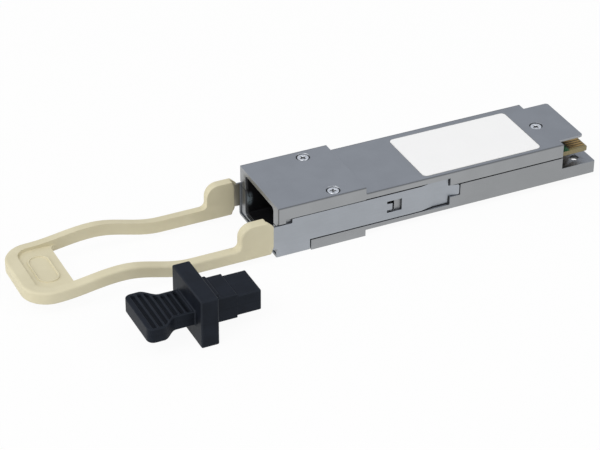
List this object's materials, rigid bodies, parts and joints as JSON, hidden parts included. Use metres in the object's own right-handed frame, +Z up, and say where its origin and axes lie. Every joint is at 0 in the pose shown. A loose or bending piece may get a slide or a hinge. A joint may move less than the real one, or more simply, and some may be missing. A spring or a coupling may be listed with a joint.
{
  "type": "optical transceiver module",
  "caption": "Flat pluggable optical module with a metal case, a fibre port, a card edge, a sprung side latch worked by a looped pull tab, and a loose dust plug.",
  "frame": {"origin": "on the seating face under the cage section, on the middle plane, in the plane where the cage's catches hold the rear ends of the latch plates", "axes": "+X towards the card edge, the way the module is pushed in; +Y to the side away from the dust plug; +Z up, towards the label"},
  "size_m": [0.1239, 0.0403, 0.0113],
  "materials": {
    "housing_metal": "nickel-plated casting, smooth satin",
    "cover_metal": "nickel-plated casting, smooth satin",
    "screw_steel": "bright plated",
    "label_film": "white printed film, left bare",
    "slider_steel": "rolled stainless sheet, satin",
    "tab_plastic": "beige moulded, fine matt grain",
    "spring_wire": "drawn wire",
    "port_plastic": "black moulded",
    "gasket_rubber": "conductive elastomer",
    "ferrule_plastic": "filled polymer",
    "pin_steel": "ground",
    "keeper_plastic": "moulded",
    "ribbon_plastic": "acrylate coating",
    "lens_plastic": "amber polymer, polished",
    "chip_body": "bare die",
    "package_plastic": "moulded package",
    "chip_ceramic": "ceramic",
    "pad_rubber": "soft thermal pad",
    "board_laminate": "green solder mask on glass laminate",
    "contact_gold": "gold-plated",
    "plug_rubber": "black soft moulding, satin"
  },
  "bodies": {
    "module": {"bottom_housing": "housing_metal", "top_cover": "cover_metal", "cover_screws": "screw_steel", "label": "label_film", "return_spring_left": "spring_wire", "return_spring_right": "spring_wire", "receptacle": "port_plastic", "emi_gasket": "gasket_rubber", "ferrule": "ferrule_plastic", "guide_pins": "pin_steel", "pin_keeper": "keeper_plastic", "fibre_ribbon": "ribbon_plastic", "lens_block": "lens_plastic", "laser_array": "chip_body", "detector_array": "chip_body", "laser_driver": "chip_body", "receiver_chip": "chip_body", "controller_chip": "package_plastic", "chip_parts": "chip_ceramic", "thermal_pads": "pad_rubber", "circuit_board": "board_laminate", "gold_fingers": "contact_gold"},
    "latch": {"latch_slider": "slider_steel", "pull_tab": "tab_plastic"},
    "dust_plug": {"dust_plug": "plug_rubber"}
  },
  "joints": [
    {"name": "latch_pull", "type": "slide", "parent": "module", "child": "latch", "axis": [-1, 0, 0], "range_m": [0, 0.00125], "stiffness_N_per_m": 800, "springref_m": -0.002, "deforming": ["return_spring_left", "return_spring_right"]},
    {"name": "plug_lift", "type": "slide", "parent": "module", "child": "dust_plug", "axis": [0, 0, 1], "range_m": [-0.002, 0.05]}
  ]
}
